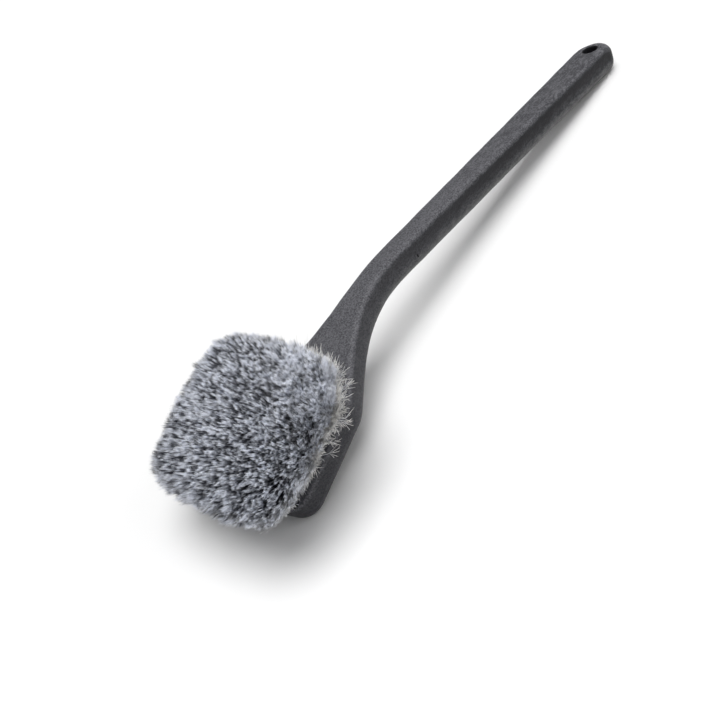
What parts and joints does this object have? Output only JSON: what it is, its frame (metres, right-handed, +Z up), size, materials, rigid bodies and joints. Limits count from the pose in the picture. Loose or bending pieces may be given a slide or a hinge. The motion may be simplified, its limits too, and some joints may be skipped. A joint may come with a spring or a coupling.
{
  "type": "wheel brush",
  "caption": "Long-handled wheel brush with a bent one-piece moulded block and handle, fanned grey bristle tufts on anchor staples, and a hang hole.",
  "frame": {"origin": "middle of the plan of the brush, at the level of the surface it lies on", "axes": "+X from the bristle end to the handle's hang hole end, +Y across the brush, +Z up, the way the bristles point as the brush lies on its back"},
  "size_m": [0.5308, 0.1492, 0.091],
  "materials": {
    "moulded_plastic": "matte charcoal moulded foam plastic with a fine pebbled skin",
    "bristle_filament": "soft split-tip synthetic filaments, dark grey and silver mixed, paler at the tips",
    "staple_wire": "drawn flat wire, lightly brushed"
  },
  "bodies": {
    "root": {"block_and_handle": "moulded_plastic", "bristle_tuft_01": "bristle_filament", "bristle_tuft_02": "bristle_filament", "bristle_tuft_03": "bristle_filament", "bristle_tuft_04": "bristle_filament", "bristle_tuft_05": "bristle_filament", "bristle_tuft_06": "bristle_filament", "bristle_tuft_07": "bristle_filament", "bristle_tuft_08": "bristle_filament", "bristle_tuft_09": "bristle_filament", "bristle_tuft_10": "bristle_filament", "bristle_tuft_11": "bristle_filament", "bristle_tuft_12": "bristle_filament", "bristle_tuft_13": "bristle_filament", "bristle_tuft_14": "bristle_filament", "bristle_tuft_15": "bristle_filament", "bristle_tuft_16": "bristle_filament", "bristle_tuft_17": "bristle_filament", "bristle_tuft_18": "bristle_filament", "bristle_tuft_19": "bristle_filament", "bristle_tuft_20": "bristle_filament", "bristle_tuft_21": "bristle_filament", "bristle_tuft_22": "bristle_filament", "bristle_tuft_23": "bristle_filament", "bristle_tuft_24": "bristle_filament", "bristle_tuft_25": "bristle_filament", "bristle_tuft_26": "bristle_filament", "bristle_tuft_27": "bristle_filament", "anchor_staple_01": "staple_wire", "anchor_staple_02": "staple_wire", "anchor_staple_03": "staple_wire", "anchor_staple_04": "staple_wire", "anchor_staple_05": "staple_wire", "anchor_staple_06": "staple_wire", "anchor_staple_07": "staple_wire", "anchor_staple_08": "staple_wire", "anchor_staple_09": "staple_wire", "anchor_staple_10": "staple_wire", "anchor_staple_11": "staple_wire", "anchor_staple_12": "staple_wire", "anchor_staple_13": "staple_wire", "anchor_staple_14": "staple_wire", "anchor_staple_15": "staple_wire", "anchor_staple_16": "staple_wire", "anchor_staple_17": "staple_wire", "anchor_staple_18": "staple_wire", "anchor_staple_19": "staple_wire", "anchor_staple_20": "staple_wire", "anchor_staple_21": "staple_wire", "anchor_staple_22": "staple_wire", "anchor_staple_23": "staple_wire", "anchor_staple_24": "staple_wire", "anchor_staple_25": "staple_wire", "anchor_staple_26": "staple_wire", "anchor_staple_27": "staple_wire"}
  },
  "joints": []
}
